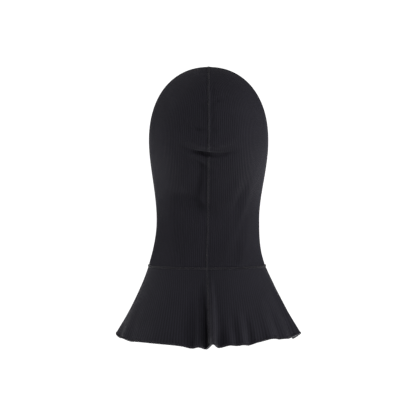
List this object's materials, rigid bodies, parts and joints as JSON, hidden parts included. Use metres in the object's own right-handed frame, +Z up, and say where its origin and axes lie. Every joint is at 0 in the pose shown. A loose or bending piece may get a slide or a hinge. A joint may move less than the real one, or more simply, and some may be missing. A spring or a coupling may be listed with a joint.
{
  "type": "flame resistant balaclava",
  "caption": "Black knitted balaclava: ribbed hood halves seamed over the crown and nape, a banded face opening, and a flared bib that hangs from a collar seam and ends in a stitched hem.",
  "frame": {"origin": "On the inside of the crown, where the hood sits on the top of the head.", "axes": "Z up, along the height from the hem to the crown. The face looks along -Y and the nape along +Y. +X is the wearer's left."},
  "size_m": [0.2479, 0.2191, 0.37],
  "materials": {
    "rib_knit": "matt black rib knit with vertical wales",
    "bib_knit": "matt black fine knit, smoother than the hood",
    "band_knit": "matt black doubled knit band"
  },
  "bodies": {
    "root": {"hood_left": "rib_knit", "hood_right": "rib_knit", "bib_left": "bib_knit", "bib_right": "bib_knit", "face_band": "band_knit"}
  },
  "joints": []
}
